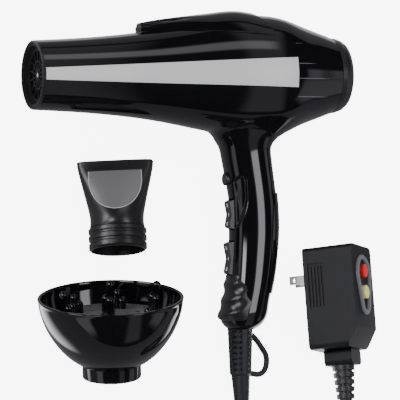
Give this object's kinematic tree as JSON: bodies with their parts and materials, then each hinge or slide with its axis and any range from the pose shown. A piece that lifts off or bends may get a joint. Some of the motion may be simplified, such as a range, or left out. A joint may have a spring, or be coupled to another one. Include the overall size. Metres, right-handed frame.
{
  "type": "travel hair dryer",
  "caption": "Pistol-grip hair dryer with cord, safety plug, flat nozzle and finger diffuser, lying ready on a table.",
  "frame": {"origin": "on the table, under the middle of the dryer and its attachments, without the cord and plug", "axes": "barrel along X with the nose towards -X, handle towards -Y, up off the table +Z"},
  "size_m": [0.2758, 0.4221, 0.1021],
  "materials": {
    "gloss_black": "gloss",
    "satin_silver": "satin",
    "satin_black": "satin",
    "soft_grey_black": "matte",
    "switch_black": "satin",
    "inner_black": "matte",
    "mica": "matte",
    "heater_wire": "satin",
    "steel": "satin",
    "nickel": "polished",
    "cord_black": "matte",
    "plug_black": "satin",
    "bezel_grey": "satin",
    "button_red": "gloss",
    "button_yellow": "gloss",
    "board_green": "satin",
    "lead_white": "matte",
    "panel_grey": "satin",
    "filter_mesh": "satin"
  },
  "bodies": {
    "dryer": {"front_shell": "gloss_black", "rear_shell": "gloss_black", "grip_panel": "gloss_black", "finger_grip": "soft_grey_black", "side_trim_left": "satin_silver", "side_trim_right": "satin_silver", "top_fairing": "gloss_black", "nose_ring": "satin_black", "outlet_grille": "inner_black", "grille_stud": "nickel", "heat_tube": "mica", "heater_boards": "mica", "heater_coils": "heater_wire", "thermal_cutout": "steel", "motor_mount": "inner_black", "motor_can": "steel", "cool_shot_switch": "inner_black", "power_leads": "lead_white", "cord_clamp": "inner_black", "shell_screws": "steel", "handle_relief": "soft_grey_black", "upper_switch_body": "inner_black", "lower_switch_body": "inner_black", "plug_back_shell": "plug_black", "plug_front_shell": "plug_black", "plug_blades": "nickel", "plug_bezel": "bezel_grey", "plug_board": "board_green", "plug_collar": "plug_black", "plug_relief": "cord_black", "cord_from_handle": "cord_black", "cord_coil": "cord_black", "coil_tie": "cord_black", "cord_to_plug": "cord_black"},
    "fan": {"fan_impeller": "inner_black", "motor_rotor": "steel"},
    "inlet_cover": {"inlet_cover": "satin_black", "inlet_filter": "filter_mesh"},
    "cool_shot_button": {"cool_shot_button": "switch_black"},
    "upper_rocker": {"upper_rocker": "switch_black"},
    "lower_rocker": {"lower_rocker": "switch_black"},
    "reset_button": {"reset_button": "button_red"},
    "test_button": {"test_button": "button_yellow"},
    "nozzle": {"nozzle_body": "satin_black", "nozzle_panels": "panel_grey"},
    "diffuser": {"diffuser_bowl": "gloss_black", "diffuser_plate": "gloss_black", "diffuser_collar": "gloss_black"}
  },
  "joints": [
    {"name": "fan_spin", "type": "hinge", "parent": "dryer", "child": "fan", "pos_m": [0.09458, 0.10555, 0.04514], "axis": [1, 0, 0], "continuous": true},
    {"name": "inlet_cover_pull", "type": "slide", "parent": "dryer", "child": "inlet_cover", "axis": [1, 0, 0], "range_m": [0, 0.03]},
    {"name": "cool_shot_press", "type": "slide", "parent": "dryer", "child": "cool_shot_button", "axis": [1, 0, 0], "range_m": [0, 0.0015], "stiffness_N_per_m": 800, "springref_m": -0.0015},
    {"name": "upper_rocker_tilt", "type": "hinge", "parent": "dryer", "child": "upper_rocker", "pos_m": [0.03998, 0.00292, 0.02833], "axis": [0, 0.1616, -0.9869], "range_deg": [-7, 7], "stiffness_Nm_per_rad": 0.05},
    {"name": "lower_rocker_tilt", "type": "hinge", "parent": "dryer", "child": "lower_rocker", "pos_m": [0.0392, -0.02965, 0.023], "axis": [0, 0.1616, -0.9869], "range_deg": [-6, 6], "stiffness_Nm_per_rad": 0.05},
    {"name": "reset_press", "type": "slide", "parent": "dryer", "child": "reset_button", "axis": [-0.7303, 0, -0.6831], "range_m": [0, 0.0015], "stiffness_N_per_m": 800, "springref_m": -0.0015},
    {"name": "test_press", "type": "slide", "parent": "dryer", "child": "test_button", "axis": [-0.7303, 0, -0.6831], "range_m": [0, 0.0015], "stiffness_N_per_m": 800, "springref_m": -0.0015},
    {"name": "nozzle_lift", "type": "slide", "parent": "dryer", "child": "nozzle", "axis": [0, 0, 1], "range_m": [0, 0.1]},
    {"name": "diffuser_lift", "type": "slide", "parent": "dryer", "child": "diffuser", "axis": [0, 0, 1], "range_m": [0, 0.1]}
  ]
}
